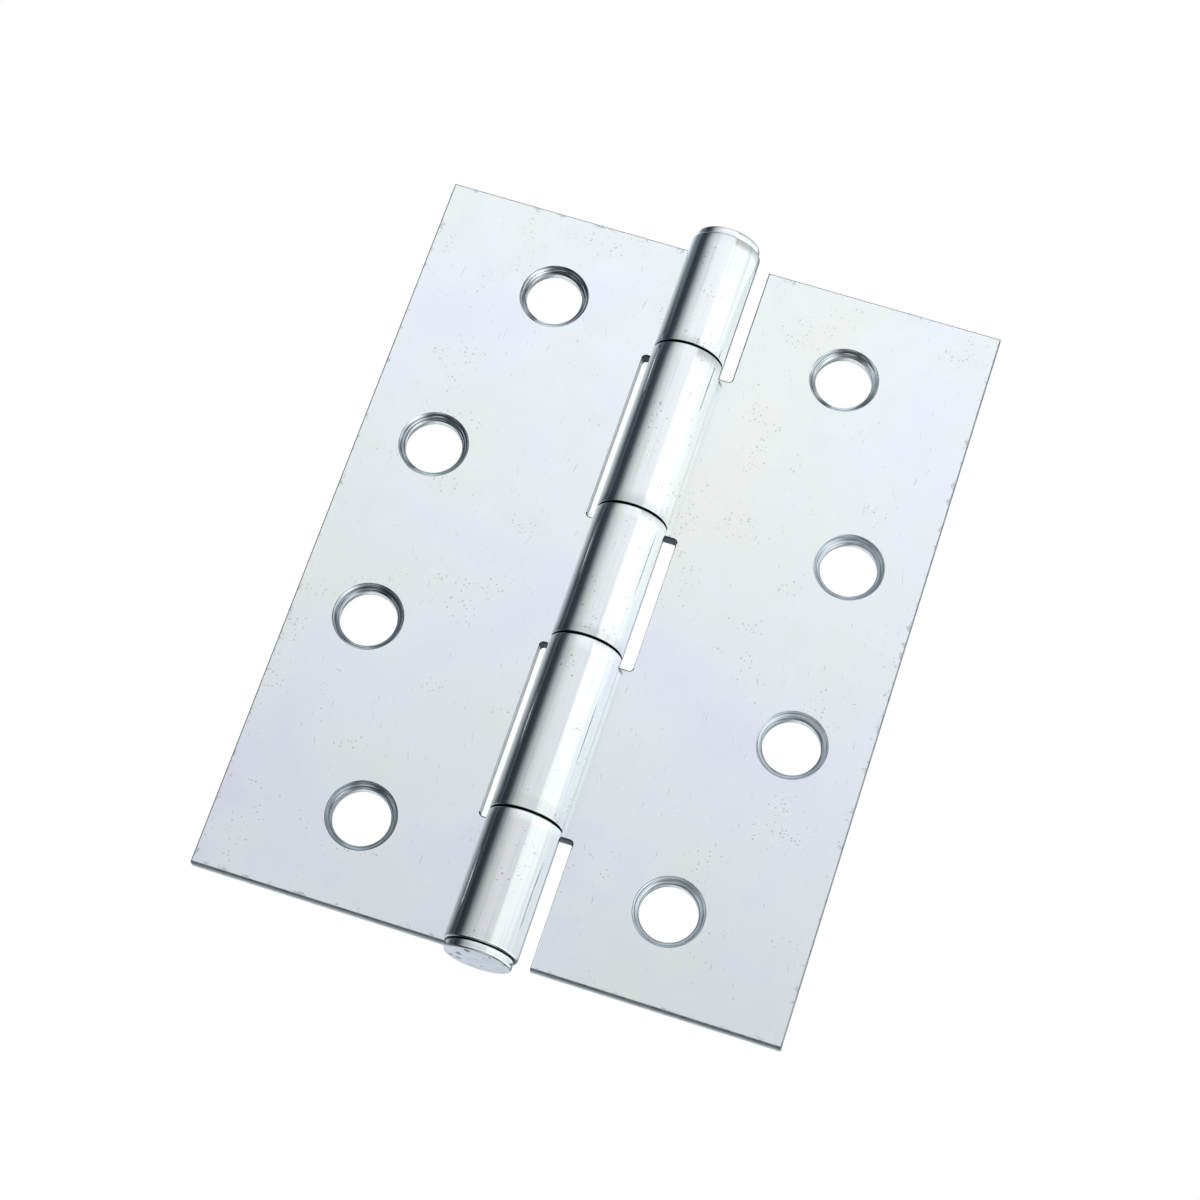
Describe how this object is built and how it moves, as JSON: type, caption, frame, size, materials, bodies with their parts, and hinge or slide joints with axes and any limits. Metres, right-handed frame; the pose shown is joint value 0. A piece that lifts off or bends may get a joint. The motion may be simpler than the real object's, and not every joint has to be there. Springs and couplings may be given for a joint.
{
  "type": "door hinge",
  "caption": "Pressed steel butt hinge with a loose pin: two flat leaves with countersunk holes, rolled knuckles that interleave, and a round button at each end of the barrel.",
  "frame": {"origin": "on the pin axis, half way up the leaves", "axes": "+Z along the pin towards its head, +X across the frame leaf, -Y the side that the countersunk faces look to"},
  "size_m": [0.076, 0.0094, 0.1033],
  "materials": {
    "leaf_steel": "bright zinc plated cold-rolled steel",
    "pin_steel": "bright zinc plated turned steel"
  },
  "bodies": {
    "frame": {"frame_leaf": "leaf_steel", "bottom_tip": "pin_steel"},
    "door": {"door_leaf": "leaf_steel"},
    "pin": {"hinge_pin": "pin_steel"}
  },
  "joints": [
    {"name": "door_swing", "type": "hinge", "parent": "frame", "child": "door", "pos_m": [0, 0, 0], "axis": [0, 0, 1], "range_deg": [-100, 180]},
    {"name": "pin_lift", "type": "slide", "parent": "frame", "child": "pin", "axis": [0, 0, 1], "range_m": [0, 0.095]}
  ]
}
